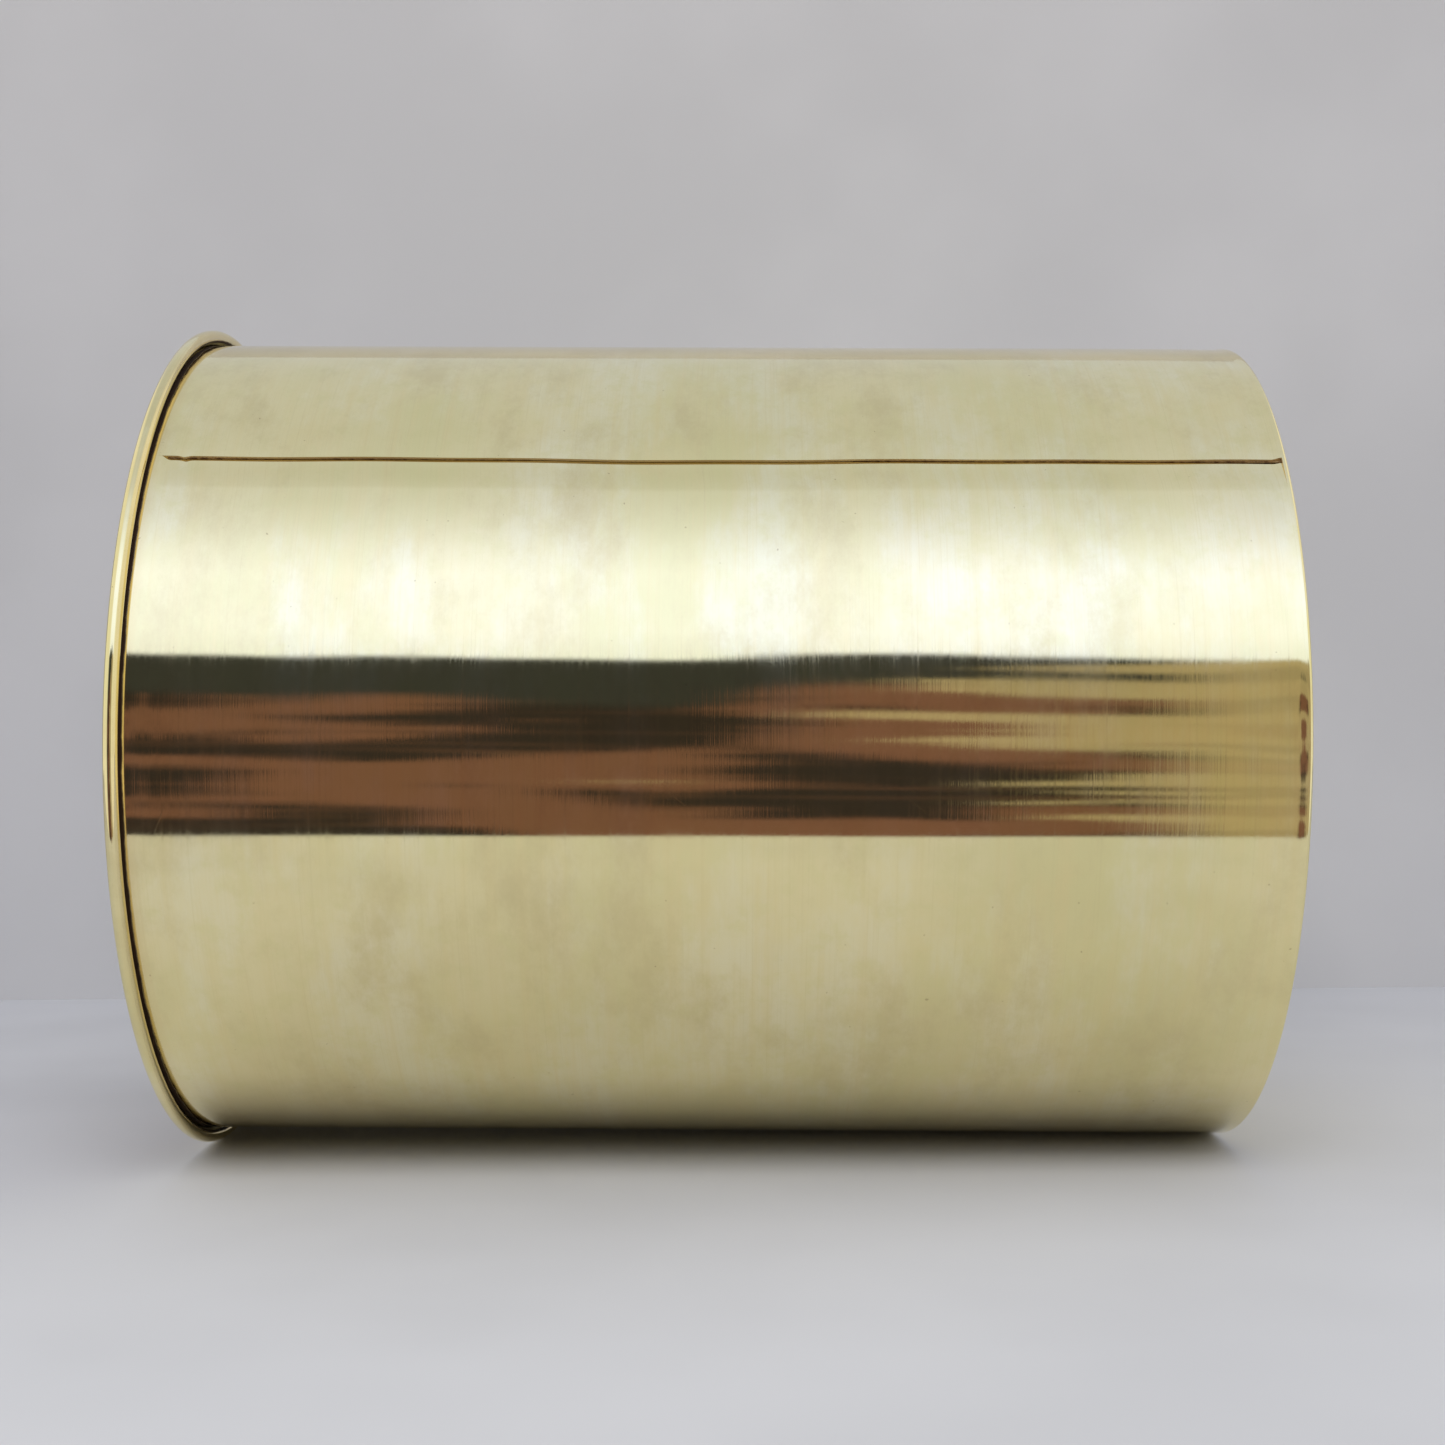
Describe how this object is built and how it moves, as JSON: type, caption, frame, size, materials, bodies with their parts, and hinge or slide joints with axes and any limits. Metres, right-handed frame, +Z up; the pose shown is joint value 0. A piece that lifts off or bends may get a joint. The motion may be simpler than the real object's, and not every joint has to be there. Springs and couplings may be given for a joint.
{
  "type": "planter pot",
  "caption": "Straight-sided polished brass planter pot with a lap seam, a wired bead round the rim and a closed base.",
  "frame": {"origin": "centre of the face that the pot stands on", "axes": "+Z up the pot's axis, towards the open mouth; the lap seam is 51 degrees from +X towards -Y"},
  "size_m": [0.2076, 0.2076, 0.256],
  "materials": {
    "brass_sheet": "mirror polished",
    "brass_base": "polished",
    "galvanised_wire": "drawn",
    "braze": "as brazed"
  },
  "bodies": {
    "root": {"body_shell": "brass_sheet", "rim_wire": "galvanised_wire", "base_disc": "brass_base", "seam_braze": "braze", "base_braze": "braze"}
  },
  "joints": []
}
